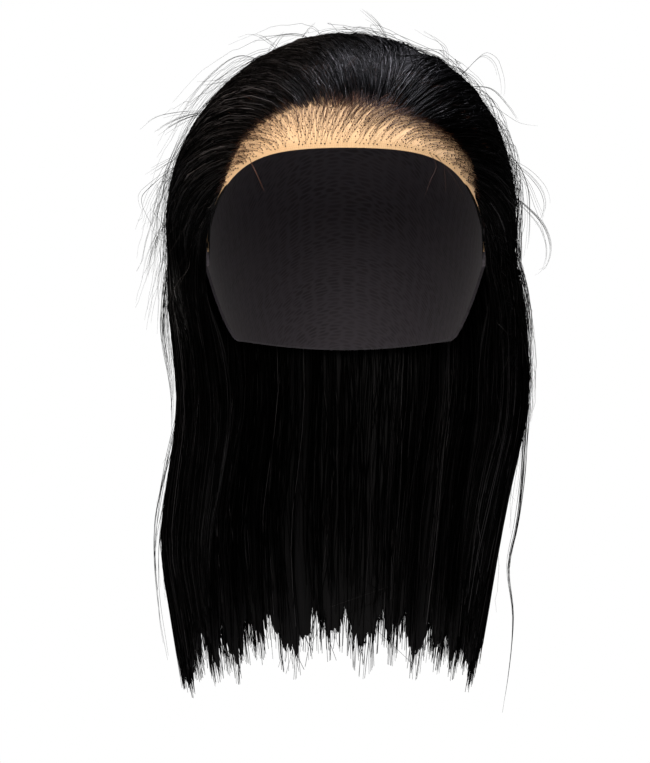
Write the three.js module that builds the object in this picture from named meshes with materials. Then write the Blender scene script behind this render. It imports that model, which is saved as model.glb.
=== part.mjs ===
// A straight, shoulder-length lace-front wig in the form it takes on a head: a thin cap, a lace
// front that carries the hairline, and three panels of hair that are combed back off the face and
// hang to the shoulders. Each panel is a row of locks on one backing.
// Millimetres, +Z up. The face opening looks towards -Y and the wearer's left is +X.
// The origin is the crown of the head, on the inside of the cap.
import * as THREE from "three";

// Head size that the cap is made for: an egg shape, about 545 mm round at its widest level.
const head = {
  halfWidth: 76,
  halfLength: 97,
  crownHeight: 90, // widest level to crown
  lowerHeight: 130, // widest level down to where the egg would close
};

// Directions are seen from the middle of the head: azimuth from the face round to the back,
// height above the widest level, both in degrees. The letter u runs along the hairline, from -1 at
// the wearer's right ear over 0 at the middle of the forehead to 1 at the left ear.
const hairline = { reach: 60, height: 25, fall: 25, squareness: 4 };
const combing = {
  turn: 150, // from straight up at the forehead round to down and back at the ear
  bend: 1.7,
  rootPull: 0.45, // how long a line keeps to its first and its last direction
  leavePull: 0.85,
  sideSweep: 0.7, // how much more of the hair falls to the sides than behind
};
const leaving = { earAzimuth: 64, earHeight: -14, backHeight: -6 }; // where hair leaves the head
const capEdge = { earHeight: -14, napeHeight: -42, earEnd: 0.72, napeStart: 0.48 };

// Walls, and the clearances between neighbouring pieces.
const laceThickness = 1.0;
const capThickness = 1.5;
const seamGap = 0.35;
const laceDepth = { middle: 52, ear: 13, bend: 1.6 }; // from the lace edge back to the cap's seam
const hairSeat = { onLace: 1.5, onCap: 2.7, riseFrom: 0.4 }; // underside of the hair above the head
const panelGap = 0.0036; // gap between panels, as a share of the way round the head

// Hair: how far behind the lace edge it turns dense, and how high its surface lies above the head.
const denseLine = { middle: 30, ear: 6, reach: 0.95, bend: 1.6 };
const hairLift = {
  root: 2.6,
  crown: 9.5,
  right: { side: 17, shoulder: 0 }, // shoulder is extra fullness between crown and side
  left: { side: 12, shoulder: 3.8 },
  rise: 55, // distance over which the hair rises from its roots
  riseBend: 0.75,
  edgeShare: 0.5, // share that is left along the front edge
  edgeStart: 0.8,
};
const curtain = { thickness: 12, settle: 0.35, tipThickness: 2.4, taper: 2 };

// Each lock is a low ridge. It grows behind the hairline and fades towards the pointed tip.
const ridge = { onHead: 1.3, hanging: 2.6, grownBy: 0.35, fade: 3, insideShare: 0.5, tipPoint: 1.5 };

// The hanging hair at levels below the crown: its half widths, and how far it reaches behind and in
// front of the crown. Lower down it lies behind the shoulders.
const outline = [
  { drop: 105, right: 93.5, left: 89.5, back: 107, front: 41 },
  { drop: 125, right: 94.5, left: 95, back: 107, front: 40 },
  { drop: 150, right: 92, left: 98, back: 107, front: 38 },
  { drop: 190, right: 89, left: 97.5, back: 105, front: 32 },
  { drop: 225, right: 94, left: 90, back: 103, front: 25 },
  { drop: 260, right: 98.5, left: 83.5, back: 102, front: 18 },
  { drop: 300, right: 93.5, left: 77, back: 100, front: 12 },
  { drop: 350, right: 86, left: 69, back: 98, front: 8 },
];

// A panel lies between two shares of the way round the head, from 0 at the back to 1 at the left ear
// and -1 at the right. One row for each lock, in order: its share of the panel's width, how far its
// tip hangs below the crown and how deep the notch is that parts it from its neighbours.
const panels = [
  {
    name: "hair_right",
    from: -1,
    to: -0.42,
    locks: [
      { width: 9, tip: 306, notch: 34 },
      { width: 13, tip: 328, notch: 38 },
      { width: 10, tip: 340, notch: 44 },
      { width: 8, tip: 349, notch: 60 },
      { width: 14, tip: 343, notch: 40 },
      { width: 11, tip: 350, notch: 34 },
    ],
  },
  {
    name: "hair_middle",
    from: -0.42,
    to: 0.42,
    locks: [
      { width: 12, tip: 353, notch: 26 },
      { width: 9, tip: 345, notch: 32 },
      { width: 14, tip: 356, notch: 28 },
      { width: 10, tip: 349, notch: 24 },
      { width: 13, tip: 357, notch: 30 },
      { width: 8, tip: 348, notch: 26 },
      { width: 12, tip: 354, notch: 32 },
      { width: 10, tip: 347, notch: 26 },
    ],
  },
  {
    name: "hair_left",
    from: 0.42,
    to: 1,
    locks: [
      { width: 11, tip: 347, notch: 32 },
      { width: 14, tip: 338, notch: 38 },
      { width: 9, tip: 344, notch: 48 },
      { width: 12, tip: 331, notch: 44 },
      { width: 10, tip: 322, notch: 38 },
      { width: 9, tip: 300, notch: 34 },
    ],
  },
];

// Mesh fineness: columns run along the hairline, rows run from root to tip.
const capColumns = 44;
const capRows = 12;
const laceRows = 3;
const columnsPerLock = 4;
const rowsOnHead = 13;
const rowsHanging = 9;
const flowSteps = 40;

const { degToRad, clamp, lerp, smoothstep } = THREE.MathUtils;
const mix = (low, high, share) => lerp(low, high, clamp(share, 0, 1));

// Unit vector towards a direction on the head, and the tangents that go up and outwards there.
function towards(azimuth, height) {
  const a = degToRad(azimuth);
  const h = degToRad(height);
  return {
    out: new THREE.Vector3(Math.sin(a) * Math.cos(h), -Math.cos(a) * Math.cos(h), Math.sin(h)),
    up: new THREE.Vector3(-Math.sin(a) * Math.sin(h), Math.cos(a) * Math.sin(h), Math.cos(h)),
    round: new THREE.Vector3(Math.cos(a), Math.sin(a), 0),
  };
}

// The point in a given direction, raised a little above the head's surface.
function onHead(direction, lift) {
  const height = (direction.z > 0 ? head.crownHeight : head.lowerHeight) + lift;
  const reach = 1 / Math.hypot(
    direction.x / (head.halfWidth + lift),
    direction.y / (head.halfLength + lift),
    direction.z / height,
  );
  const point = direction.clone().multiplyScalar(reach);
  point.z -= head.crownHeight;
  return point;
}

const rootAt = (u) => towards(
  u * hairline.reach,
  hairline.height - hairline.fall * Math.abs(u) ** hairline.squareness,
);

// How far round the head the hair from a place on the hairline is swept, and the other way about.
const sweptShare = (u) => u * (1 + combing.sideSweep * (1 - Math.abs(u)));
function hairlineShare(swept) {
  const most = 1 + combing.sideSweep;
  const root = Math.sqrt(most ** 2 - 4 * combing.sideSweep * Math.abs(swept));
  return Math.sign(swept) * (most - root) / (2 * combing.sideSweep);
}

const leavingAzimuth = (u) => {
  const turned = 180 - (180 - leaving.earAzimuth) * Math.abs(sweptShare(u));
  return u < 0 ? -turned : turned;
};
const leavingHeight = (u) => mix(leaving.backHeight, leaving.earHeight, Math.abs(sweptShare(u)));
const capEdgeHeight = (u) => mix(
  capEdge.napeHeight,
  capEdge.earHeight,
  smoothstep(Math.abs(sweptShare(u)), capEdge.napeStart, capEdge.earEnd),
);

// One combed line over the head. It starts square to the hairline, sweeps back over the head and
// turns down where the hair leaves it; the cap follows it on down to its own edge.
function makeFlow(u) {
  const root = rootAt(u);
  const leave = towards(leavingAzimuth(u), leavingHeight(u));
  const turn = degToRad(combing.turn * Math.abs(u) ** combing.bend) * Math.sign(u);
  const handle = (4 / 3) * Math.tan(root.out.angleTo(leave.out) / 4);
  const combed = root.up.clone().multiplyScalar(Math.cos(turn))
    .addScaledVector(root.round, Math.sin(turn));
  const sweep = new THREE.CubicBezierCurve3(
    root.out,
    root.out.clone().addScaledVector(combed, handle * combing.rootPull),
    leave.out.clone().addScaledVector(leave.up, handle * combing.leavePull),
    leave.out,
  );
  const directions = sweep.getPoints(flowSteps).map((point) => point.normalize());
  const lengths = [0];
  for (let i = 1; i <= flowSteps; i += 1) {
    const step = onHead(directions[i], 0).distanceTo(onHead(directions[i - 1], 0));
    lengths.push(lengths[i - 1] + step);
  }
  return { directions, lengths, length: lengths[flowSteps] };
}

const flows = new Map();
function flowAt(u) {
  if (!flows.has(u)) flows.set(u, makeFlow(u));
  return flows.get(u);
}

// The direction reached after a distance along a combed line.
function alongFlow(u, distance) {
  const { directions, lengths } = flowAt(u);
  let i = 1;
  while (i < flowSteps && lengths[i] < distance) i += 1;
  const share = (distance - lengths[i - 1]) / (lengths[i] - lengths[i - 1]);
  return directions[i - 1].clone().lerp(directions[i], share).normalize();
}

// A closed solid between two sheets of points over one grid: an outer face, an inner face and the
// rim that joins them. Both functions take a column share and a row share, each from 0 to 1.
function solidBetween(outerAt, innerAt, columns, rows) {
  const positions = [];
  const index = [];
  const layerSize = (columns + 1) * (rows + 1);
  const corner = (layer, i, j) => layer * layerSize + i * (rows + 1) + j;
  const quad = (a, b, c, d) => index.push(a, b, c, a, c, d);
  for (const pointAt of [outerAt, innerAt]) {
    for (let i = 0; i <= columns; i += 1) {
      for (let j = 0; j <= rows; j += 1) positions.push(...pointAt(i / columns, j / rows).toArray());
    }
  }
  for (let i = 0; i < columns; i += 1) {
    for (let j = 0; j < rows; j += 1) {
      quad(corner(0, i, j), corner(0, i + 1, j), corner(0, i + 1, j + 1), corner(0, i, j + 1));
      quad(corner(1, i, j), corner(1, i, j + 1), corner(1, i + 1, j + 1), corner(1, i + 1, j));
    }
    quad(corner(0, i, 0), corner(1, i, 0), corner(1, i + 1, 0), corner(0, i + 1, 0));
    quad(corner(0, i, rows), corner(0, i + 1, rows), corner(1, i + 1, rows), corner(1, i, rows));
  }
  for (let j = 0; j < rows; j += 1) {
    quad(corner(0, 0, j), corner(0, 0, j + 1), corner(1, 0, j + 1), corner(1, 0, j));
    quad(
      corner(0, columns, j),
      corner(1, columns, j),
      corner(1, columns, j + 1),
      corner(0, columns, j + 1),
    );
  }
  const geometry = new THREE.BufferGeometry();
  geometry.setAttribute("position", new THREE.Float32BufferAttribute(positions, 3));
  geometry.setIndex(index);
  geometry.computeVertexNormals();
  return geometry;
}

const alongHairline = (share) => mix(-1, 1, share);
const laceBack = (u) => mix(laceDepth.middle, laceDepth.ear, Math.abs(u) ** laceDepth.bend);

// The lace front: a band from the trimmed edge on the forehead back to the seam with the cap.
function laceFront() {
  const at = (lift) => (across, back) => {
    const u = alongHairline(across);
    return onHead(alongFlow(u, laceBack(u) * back), lift);
  };
  return solidBetween(at(laceThickness), at(0), capColumns, laceRows);
}

// The cap: a stretch-net dome from the lace seam over the crown to the ears and the nape.
function cap() {
  const at = (lift) => (across, back) => {
    const u = alongHairline(across);
    const start = laceBack(u) + seamGap;
    const onSweep = flowAt(u).length - start;
    const drop = leavingHeight(u) - capEdgeHeight(u);
    const below = degToRad(drop) * head.lowerHeight;
    const distance = back * (onSweep + below);
    if (distance <= onSweep) return onHead(alongFlow(u, start + distance), lift);
    const height = leavingHeight(u) - drop * ((distance - onSweep) / below);
    return onHead(towards(leavingAzimuth(u), height).out, lift);
  };
  return solidBetween(at(capThickness), at(0), capColumns, capRows);
}

const outlineAt = new THREE.CubicInterpolant(
  outline.map((row) => row.drop),
  outline.flatMap((row) => [row.right, row.left, row.back, row.front]),
  4,
);

// The curtain's reach sideways and lengthways at a level below the crown, for the quarter of the
// head that a point hangs from.
function curtainAt(drop, point) {
  const [right, left, back, front] = outlineAt.evaluate(drop);
  return { side: point.x < 0 ? right : left, length: point.y < 0 ? front : back };
}

const denseAt = (u) => mix(
  denseLine.middle,
  denseLine.ear,
  (Math.abs(u) / denseLine.reach) ** denseLine.bend,
);

// Height of the hair's surface above the head: thin at the roots, full over the crown and sides,
// and thin again along the panel's front edge by the ear.
function liftAt(u, distance, direction) {
  const fullness = direction.x < 0 ? hairLift.right : hairLift.left;
  const sideways = direction.x ** 2;
  const body = mix(hairLift.crown, fullness.side, sideways)
    + fullness.shoulder * 4 * sideways * (1 - sideways);
  const beside = smoothstep(Math.abs(sweptShare(u)), hairLift.edgeStart, 1);
  const edge = mix(1, hairLift.edgeShare, beside);
  const risen = smoothstep(distance - denseAt(u), 0, hairLift.rise) ** hairLift.riseBend;
  return mix(hairLift.root, body * edge, risen);
}

// Where each lock starts and ends across its panel, as shares of the panel's width.
function spread(locks) {
  const total = locks.reduce((sum, lock) => sum + lock.width, 0);
  let edge = 0;
  return locks.map((lock) => {
    const low = edge;
    edge += lock.width / total;
    return { ...lock, low, high: edge };
  });
}

// A panel of hair: locks side by side, each a low ridge that ends in a point.
function hairPanel({ from, to, locks }) {
  const start = from > -1 ? from + panelGap / 2 : from;
  const end = to < 1 ? to - panelGap / 2 : to;
  const rows = rowsOnHead + rowsHanging;
  const spans = spread(locks);

  const at = (outside) => (across, downwards) => {
    const place = across * locks.length;
    const lock = spans[Math.min(Math.floor(place), locks.length - 1)];
    const within = place - spans.indexOf(lock);
    const u = hairlineShare(mix(start, end, mix(lock.low, lock.high, within)));
    const fromMiddle = Math.abs(2 * within - 1);
    const bulge = 0.5 - fromMiddle ** 2;
    const flow = flowAt(u);
    const row = downwards * rows;

    if (row <= rowsOnHead) {
      const distance = mix(denseAt(u), flow.length, row / rowsOnHead);
      const direction = alongFlow(u, distance);
      if (!outside) {
        const covered = smoothstep(distance, laceBack(u) * hairSeat.riseFrom, laceBack(u));
        return onHead(direction, mix(hairSeat.onLace, hairSeat.onCap, covered));
      }
      const grown = smoothstep(row / rowsOnHead, 0, ridge.grownBy);
      return onHead(direction, liftAt(u, distance, direction) + ridge.onHead * bulge * grown);
    }

    const direction = alongFlow(u, flow.length);
    const leaves = onHead(direction, liftAt(u, flow.length, direction));
    const seat = onHead(direction, hairSeat.onCap);
    const hung = (row - rowsOnHead) / rowsHanging;
    const tip = lock.tip - lock.notch * fromMiddle ** ridge.tipPoint;
    const drop = mix(-leaves.z, tip, hung);
    const here = curtainAt(drop, leaves);
    const above = curtainAt(-leaves.z, leaves);
    const point = new THREE.Vector3(
      leaves.x * (here.side / above.side),
      leaves.y * (here.length / above.length),
      -drop,
    );
    const outwards = new THREE.Vector3(leaves.x, leaves.y, 0).normalize();
    const swell = mix(ridge.onHead, ridge.hanging, hung / curtain.settle) * bulge;
    const atSeat = Math.hypot(leaves.x - seat.x, leaves.y - seat.y);
    const body = mix(atSeat, curtain.thickness, smoothstep(hung, 0, curtain.settle));
    const thickness = mix(body, curtain.tipThickness, hung ** curtain.taper);
    const crest = mix(swell, 0, hung ** ridge.fade);
    return point.addScaledVector(outwards, outside ? crest : -thickness - ridge.insideShare * crest);
  };
  return solidBetween(at(true), at(false), locks.length * columnsPerLock, rows);
}

const laceNet = new THREE.MeshStandardMaterial({ color: 0xd8b088, roughness: 0.85, metalness: 0 });
const capNet = new THREE.MeshStandardMaterial({ color: 0x17151a, roughness: 0.9, metalness: 0 });
const blackHair = new THREE.MeshStandardMaterial({ color: 0x0b0a0c, roughness: 0.45, metalness: 0 });

function piece(name, geometry, material) {
  const mesh = new THREE.Mesh(geometry, material);
  mesh.name = name;
  return mesh;
}

const wig = new THREE.Group();
wig.add(piece("lace_front", laceFront(), laceNet));
wig.add(piece("cap", cap(), capNet));
for (const panel of panels) wig.add(piece(panel.name, hairPanel(panel), blackHair));

export default wig;
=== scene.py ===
# Straight black lace-front wig: strands combed back over a lace hairline and a stretch-net cap.
import math

import bpy
import numpy as np
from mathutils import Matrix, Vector


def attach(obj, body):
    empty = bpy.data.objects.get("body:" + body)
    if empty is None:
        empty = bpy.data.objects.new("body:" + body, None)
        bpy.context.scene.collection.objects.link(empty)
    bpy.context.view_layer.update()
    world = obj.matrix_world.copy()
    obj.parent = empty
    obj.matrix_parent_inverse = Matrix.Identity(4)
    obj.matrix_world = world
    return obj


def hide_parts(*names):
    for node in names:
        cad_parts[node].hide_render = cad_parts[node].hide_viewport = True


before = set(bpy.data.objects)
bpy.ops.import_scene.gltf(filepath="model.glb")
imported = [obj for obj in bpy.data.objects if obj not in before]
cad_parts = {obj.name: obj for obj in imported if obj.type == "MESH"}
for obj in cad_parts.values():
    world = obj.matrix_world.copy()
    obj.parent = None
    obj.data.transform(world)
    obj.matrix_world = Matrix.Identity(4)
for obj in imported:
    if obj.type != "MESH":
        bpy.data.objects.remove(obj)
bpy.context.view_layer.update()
mm = 0.001
scene = bpy.context.scene

# The form that the wig fits, its hairline and combing, as in the solids. Millimetres and degrees; u runs
# along the lace edge from -1 on the right to 1 on the left.
head = {"halfWidth": 76, "halfLength": 97, "crownHeight": 90, "lowerHeight": 130}
hairline = {"reach": 60, "height": 25, "fall": 25, "squareness": 4}
combing = {"turn": 150, "bend": 1.7, "rootPull": 0.45, "leavePull": 0.85, "sideSweep": 0.7, "steps": 60}
leaving = {"earAzimuth": 64, "earHeight": -14, "backHeight": -6}
capEdge = {"earHeight": -14, "napeHeight": -42, "earEnd": 0.72, "napeStart": 0.48}
laceDepth = {"middle": 52, "ear": 13, "bend": 1.6}
denseLine = {"middle": 30, "ear": 6, "reach": 0.95, "bend": 1.6}
strandLine = np.array([  # columns: u, way from the lace edge to the first loose strands
    (-1, 0.5), (-0.85, 0.8), (-0.75, 4.8), (-0.65, 11), (-0.55, 18.5), (-0.45, 24), (-0.35, 27.5),
    (-0.25, 27.5), (-0.15, 26), (-0.05, 23.5), (0.05, 24), (0.15, 25), (0.25, 23), (0.35, 26.5),
    (0.45, 28.5), (0.55, 28), (0.65, 21), (0.75, 13.5), (0.85, 3.5), (1, 0.5)])
edgeLength = 190  # of the lace, from end to end
hairLift = {
    "root": 1.5, "crown": 9.5, "rise": 55, "riseBend": 0.75, "edgeShare": 0.5, "edgeStart": 0.8,
    "right": (17, 0), "left": (12, 3.8),  # side fullness, and the extra between crown and side
}
hairSeat = {"onLace": 1.1, "onCap": 2.7, "riseFrom": 0.4}
curtain = {"thickness": 12, "settle": 0.35, "tipThickness": 2.4, "taper": 2}
ridge = {
    "onHead": 0.8, "hanging": 2.6, "grownBy": 0.35, "fade": 3, "insideShare": 0.5, "tipPoint": 1.5,
    "settled": 16, "tipRise": 0.6, "behindFirst": 4}
raggedEnds = {"seed": 5, "bend": 1.5, "rootShare": 0.35}
ripple = {"across": 11.7, "sway": 1.3, "fine": 29.3, "fineShare": 0.6, "headTurn": 4, "hangTurn": 3}

# Loose strands are swept further to each side of a parting left of the middle, mostly to the right.
sweep = {"parting": 0.62, "rightBend": 0.28, "leftBend": 0.78, "reach": 0.36, "halvings": 20}

# Columns: drop below the crown, half width right, half width left, reach behind, reach in front.
hangingOutline = np.array([
    (105, 93.5, 89.5, 107, 41),
    (125, 94.5, 95, 107, 40),
    (150, 92, 98, 107, 38),
    (190, 89, 97.5, 105, 32),
    (225, 94, 90, 103, 25),
    (260, 98.5, 83.5, 102, 18),
    (300, 93.5, 77, 100, 12),
    (350, 86, 69, 98, 8),
])

# Panels lie between shares of the way round the cap. Columns of the locks: width share, tip below
# the crown, depth of the notch.
panels = {
    "Right": {"node": "hair_right", "from": -1, "to": -0.42, "locks": (
        (9, 306, 34), (13, 328, 38), (10, 340, 44), (8, 349, 60), (14, 343, 40), (11, 350, 34))},
    "Middle": {"node": "hair_middle", "from": -0.42, "to": 0.42, "locks": (
        (12, 353, 26), (9, 345, 32), (14, 356, 28), (10, 349, 24),
        (13, 357, 30), (8, 348, 26), (12, 354, 32), (10, 347, 26))},
    "Left": {"node": "hair_left", "from": 0.42, "to": 1, "locks": (
        (11, 347, 32), (14, 338, 38), (9, 344, 48), (12, 331, 44), (10, 322, 38), (9, 300, 34))},
}


def blend(low, high, share):
    return low + (high - low) * np.clip(share, 0, 1)


def ease(value, low, high):
    share = np.clip((value - low) / (high - low), 0, 1)
    return share * share * (3 - 2 * share)


def towards(azimuth, height):
    a, h = np.radians(azimuth), np.radians(height)
    out = np.stack([np.sin(a) * np.cos(h), -np.cos(a) * np.cos(h), np.sin(h)], -1)
    up = np.stack([-np.sin(a) * np.sin(h), np.cos(a) * np.sin(h), np.cos(h)], -1)
    sideways = np.stack([np.cos(a), np.sin(a), np.zeros_like(a)], -1)
    return out, up, sideways


def onHead(direction, lift):
    height = np.where(direction[..., 2] > 0, head["crownHeight"], head["lowerHeight"]) + lift
    reach = 1 / np.sqrt(
        (direction[..., 0] / (head["halfWidth"] + lift)) ** 2
        + (direction[..., 1] / (head["halfLength"] + lift)) ** 2
        + (direction[..., 2] / height) ** 2
    )
    return direction * reach[..., None] - np.array([0, 0, head["crownHeight"]])


# How far round the cap the hair from a place on the hairline is swept, and the other way about.
def sweptShare(us):
    return us * (1 + combing["sideSweep"] * (1 - np.abs(us)))


def hairlineShare(swept):
    most = 1 + combing["sideSweep"]
    root = np.sqrt(most ** 2 - 4 * combing["sideSweep"] * np.abs(swept))
    return np.sign(swept) * (most - root) / (2 * combing["sideSweep"])


def leavingAzimuth(us):
    turned = 180 - (180 - leaving["earAzimuth"]) * np.abs(sweptShare(us))
    return np.where(us < 0, -turned, turned)


def leavingHeight(us):
    return blend(leaving["backHeight"], leaving["earHeight"], np.abs(sweptShare(us)))


# Combed lines over the cap, one for each u: square to the hairline, swept back, then turned down.
def combedLines(us):
    size = np.abs(us)
    fall = hairline["fall"] * size ** hairline["squareness"]
    rootOut, rootUp, rootSide = towards(us * hairline["reach"], hairline["height"] - fall)
    leaveOut, leaveUp = towards(leavingAzimuth(us), leavingHeight(us))[:2]
    turn = (np.radians(combing["turn"] * size ** combing["bend"]) * np.sign(us))[:, None]
    angle = np.arccos(np.clip((rootOut * leaveOut).sum(-1), -1, 1))
    handle = (4 / 3 * np.tan(angle / 4))[:, None]
    combed = rootUp * np.cos(turn) + rootSide * np.sin(turn)
    a, b = rootOut, rootOut + combed * handle * combing["rootPull"]
    c, d = leaveOut + leaveUp * handle * combing["leavePull"], leaveOut
    t = np.linspace(0, 1, combing["steps"] + 1)[None, :, None]
    a, b, c, d = (corner[:, None, :] for corner in (a, b, c, d))
    line = a * (1 - t) ** 3 + 3 * b * t * (1 - t) ** 2 + 3 * c * t ** 2 * (1 - t) + d * t ** 3
    line /= np.linalg.norm(line, axis=-1, keepdims=True)
    steps = np.linalg.norm(np.diff(onHead(line, 0.0), axis=1), axis=-1)
    return line, np.pad(np.cumsum(steps, axis=1), ((0, 0), (1, 0)))


# Combed lines from the whole lace edge, and their places on it.
def linesAcross(columns):
    us = np.linspace(-1, 1, columns + 1)
    return combedLines(us), us[:, None]


# Directions after given distances along each line.
def alongLines(lines, distances):
    directions, lengths = lines
    found = np.stack([
        np.stack([np.interp(far, length, line[:, axis]) for axis in range(3)], -1)
        for far, length, line in zip(distances, lengths, directions)
    ])
    return found / np.linalg.norm(found, axis=-1, keepdims=True)


def laceBack(us):
    return blend(laceDepth["middle"], laceDepth["ear"], np.abs(us) ** laceDepth["bend"])


def denseAt(us):
    return blend(denseLine["middle"], denseLine["ear"],
                 (np.abs(us) / denseLine["reach"]) ** denseLine["bend"])


# Where the first loose strands start, and the mass of hair behind them, built in place of the imported one.
def strandsAt(us):
    return np.interp(us, strandLine[:, 0], strandLine[:, 1])


def massAt(us):
    return np.maximum(denseAt(us), strandsAt(us) + ridge["behindFirst"])


# Height of the combed surface above the cap's inside.
def liftAt(us, distance, direction):
    side = np.where(direction[..., 0] < 0, hairLift["right"][0], hairLift["left"][0])
    shoulder = np.where(direction[..., 0] < 0, hairLift["right"][1], hairLift["left"][1])
    sideways = direction[..., 0] ** 2
    body = blend(hairLift["crown"], side, sideways) + shoulder * 4 * sideways * (1 - sideways)
    edge = blend(1, hairLift["edgeShare"], ease(np.abs(sweptShare(us)), hairLift["edgeStart"], 1))
    risen = ease(distance - denseAt(us), 0, hairLift["rise"]) ** hairLift["riseBend"]
    return blend(hairLift["root"], body * edge, risen)


tableEnd = 1.2  # a table's curve may run on past its end by a fifth of the last stretch


# A smooth curve through one column of a table whose first column is the drop.
def tableColumn(table, drop, column):
    x, y = table[:, 0], table[:, column]
    slope = np.gradient(y, x)
    i = np.clip(np.searchsorted(x, drop) - 1, 0, len(x) - 2)
    wide = x[i + 1] - x[i]
    t = np.clip((drop - x[i]) / wide, 0, tableEnd)
    return ((2 * t ** 3 - 3 * t ** 2 + 1) * y[i] + (t ** 3 - 2 * t ** 2 + t) * wide * slope[i]
            + (3 * t ** 2 - 2 * t ** 3) * y[i + 1] + (t ** 3 - t ** 2) * wide * slope[i + 1])


def hangingReach(drop, leaves):
    right, left, back, front = (tableColumn(hangingOutline, drop, column) for column in (1, 2, 3, 4))
    return np.where(leaves[..., 0] < 0, right, left), np.where(leaves[..., 1] < 0, front, back)


# Small waves across a panel of hair, which sway on the way down.
def rippled(place, turned):
    coarse = np.sin(ripple["across"] * place + ripple["sway"] * np.sin(turned))
    return coarse + ripple["fineShare"] * np.sin(ripple["fine"] * place)


# One face of a panel of hair, as a grid of points in millimetres: columns across, rows to the tips.
def panelFace(panel, columns, headRows, hangRows, outside, sunk=0.0, trim=0.0, notchShare=1.0, wavy=0.0,
              ragged=0.0, rootLine=massAt):
    locks = np.array(panel["locks"], float)
    edges = np.concatenate([[0], np.cumsum(locks[:, 0])]) / locks[:, 0].sum()
    place = np.linspace(0, 1, columns + 1) * len(locks)
    lock = np.minimum(place.astype(int), len(locks) - 1)
    within = place - lock
    roundPanel = edges[lock] + (edges[lock + 1] - edges[lock]) * within
    us = hairlineShare(blend(panel["from"], panel["to"], roundPanel))
    fromMiddle = np.abs(2 * within - 1)[:, None]
    bulge = 0.5 - fromMiddle ** 2
    lines = combedLines(us)
    u = us[:, None]

    share = np.linspace(0, 1, headRows + 1)[None, :]
    uneven = np.random.default_rng(raggedEnds["seed"]).random((columns + 1, 1)) ** raggedEnds["bend"]
    first = rootLine(u) + ragged * raggedEnds["rootShare"] * uneven[::-1]
    distance = first + (lines[1][:, -1:] - first) * share
    direction = alongLines(lines, distance)
    settled = ease(distance - denseAt(u), 0, ridge["settled"])
    if outside:
        grown = ease(share, 0, ridge["grownBy"])
        waves = rippled(place[:, None], ripple["headTurn"] * share)
        relief = (ridge["onHead"] * bulge + wavy * waves) * grown - sunk * settled
        onTop = onHead(direction, liftAt(u, distance, direction) + relief)
    else:
        covered = ease(distance, laceBack(u) * hairSeat["riseFrom"], laceBack(u))
        onTop = onHead(direction, blend(hairSeat["onLace"], hairSeat["onCap"], covered) + sunk * settled)

    last = direction[:, -1:]
    end = lines[1][:, -1:]
    leaves = onHead(last, liftAt(u, end, last))
    seat = onHead(last, hairSeat["onCap"])
    hung = (np.arange(1, hangRows + 1) / hangRows)[None, :]
    notch = notchShare * locks[lock, 2][:, None] * fromMiddle ** ridge["tipPoint"]
    tip = locks[lock, 1][:, None] - notch - trim - ragged * uneven
    drop = blend(-leaves[..., 2], tip, hung)
    side, length = hangingReach(drop, leaves)
    sideAbove, lengthAbove = hangingReach(-leaves[..., 2], leaves)
    point = np.stack([leaves[..., 0] * side / sideAbove, leaves[..., 1] * length / lengthAbove, -drop], -1)
    outwards = leaves * np.array([1, 1, 0])
    outwards = outwards / np.linalg.norm(outwards, axis=-1, keepdims=True)
    crest = blend(ridge["onHead"], ridge["hanging"], hung / curtain["settle"]) * bulge
    crest = blend(crest, 0, hung ** ridge["fade"])
    atSeat = np.linalg.norm((leaves - seat)[..., :2], axis=-1)
    body = blend(atSeat, curtain["thickness"], ease(hung, 0, curtain["settle"]))
    thickness = blend(body, curtain["tipThickness"], hung ** curtain["taper"])
    inset = sunk * (1 - ridge["tipRise"] * hung)
    if outside:
        step = crest + wavy * rippled(place[:, None], ripple["headTurn"] + ripple["hangTurn"] * hung) - inset
    else:
        step = -thickness - ridge["insideShare"] * crest + inset
    return np.concatenate([onTop, point + outwards * step[..., None]], axis=1)


# Place across and way down, both from 0 to 1. Uneven tips don't shift the places on the cap.
def flowPlaces(grid, headRows=0, across=(0, 1)):
    steps = np.linalg.norm(np.diff(grid, axis=1), axis=-1)
    down = np.pad(np.cumsum(steps, axis=1), ((0, 0), (1, 0)))
    lying = down[:, headRows:headRows + 1]
    hanging = down[:, -1:] - lying
    bend = lying / (lying + hanging.mean())
    below = bend + (1 - bend) * (down - lying) / hanging
    down = np.where(down < lying, down / (lying + hanging.mean()), below)
    return np.stack([np.linspace(*across, len(grid))[:, None] + 0 * down, down], -1)


# Where a strand rooted at a place across is swept to, by the way it has come, and the other way about.
def sweptPlace(across, down):
    target = across
    for edge, bend in ((0, sweep["rightBend"]), (1, sweep["leftBend"])):
        share = np.clip((across - sweep["parting"]) / (edge - sweep["parting"]), 0, 1)
        target = target + (edge - sweep["parting"]) * (share ** bend - share)
    return blend(across, target, ease(down, 0, sweep["reach"]))


def rootedAt(across, down):
    low, high = np.zeros_like(across), np.ones_like(across)
    for halving in range(sweep["halvings"]):
        middle = (low + high) / 2
        short = sweptPlace(middle, down) < across
        low, high = np.where(short, middle, low), np.where(short, high, middle)
    return low


# Meshes from grids of points
def gridFaces(columns, rows, start=0, turned=False):
    i, j = np.meshgrid(np.arange(columns - 1), np.arange(rows - 1), indexing="ij")
    a = (start + i * rows + j).ravel()
    quads = np.stack([a, a + rows, a + rows + 1, a + 1], -1)
    return quads[:, ::-1] if turned else quads


def meshOf(name, points, faces, places=None):
    mesh = bpy.data.meshes.new(name)
    mesh.from_pydata((points * mm).tolist(), [], faces.tolist())
    if places is not None:
        layer = mesh.uv_layers.new(name="flow")
        corners = np.empty(len(mesh.loops), int)
        mesh.loops.foreach_get("vertex_index", corners)
        layer.uv.foreach_set("vector", places[corners].astype(np.float32).ravel())
    mesh.polygons.foreach_set("use_smooth", np.ones(len(mesh.polygons), bool))
    mesh.update()
    piece = bpy.data.objects.new(name, mesh)
    scene.collection.objects.link(piece)
    return piece


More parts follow.
